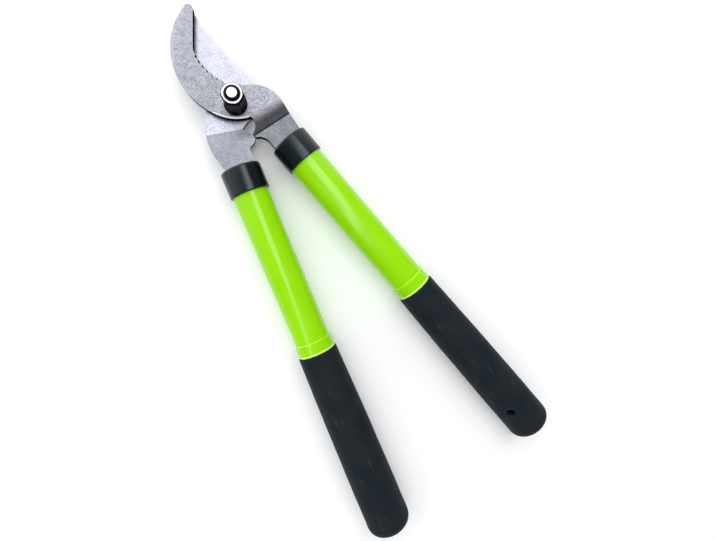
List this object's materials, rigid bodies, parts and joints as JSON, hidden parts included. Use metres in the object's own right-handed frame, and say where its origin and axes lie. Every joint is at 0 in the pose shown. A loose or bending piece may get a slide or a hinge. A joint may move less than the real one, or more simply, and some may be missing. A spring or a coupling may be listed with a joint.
{
  "type": "bypass loppers",
  "caption": "Short bypass loppers with a hooked counter blade, a curved cutting blade, green steel tube handles, black collars and soft dark grips.",
  "frame": {"origin": "on the pivot axis, at the outer face of the pivot bolt's head", "axes": "+Y along the tool from the handles to the blade tips, +X to the right hand grip, +Z along the pivot bolt from its head to its nuts, up out of the tool lying flat"},
  "size_m": [0.1565, 0.3757, 0.0418],
  "materials": {
    "hook_steel": "satin",
    "blade_steel": "polished",
    "bright_steel": "bright",
    "dark_steel": "satin",
    "bronze": "satin",
    "dark_plastic": "matte",
    "collar_plastic": "semi-gloss",
    "green_paint": "gloss",
    "grip_rubber": "matte"
  },
  "bodies": {
    "hook_arm": {"counter_blade": "hook_steel", "pivot_bolt": "bright_steel", "head_washer": "bright_steel", "bearing_disc": "dark_plastic", "nut_washer": "dark_steel", "adjusting_nut": "dark_steel", "lock_nut": "bright_steel", "nut_insert": "dark_plastic", "right_collar": "collar_plastic", "right_tube": "green_paint", "right_tang_plug": "dark_plastic", "right_tang_rivet": "bright_steel", "right_end_plug": "dark_plastic", "right_grip": "grip_rubber"},
    "blade_arm": {"cutting_blade": "blade_steel", "pivot_bushing": "bronze", "left_collar": "collar_plastic", "left_tube": "green_paint", "left_tang_plug": "dark_plastic", "left_tang_rivet": "bright_steel", "left_end_plug": "dark_plastic", "left_grip": "grip_rubber"}
  },
  "joints": [
    {"name": "blade_pivot", "type": "hinge", "parent": "hook_arm", "child": "blade_arm", "pos_m": [0, 0, 0], "axis": [0, 0, -1], "range_deg": [0, 35]}
  ]
}
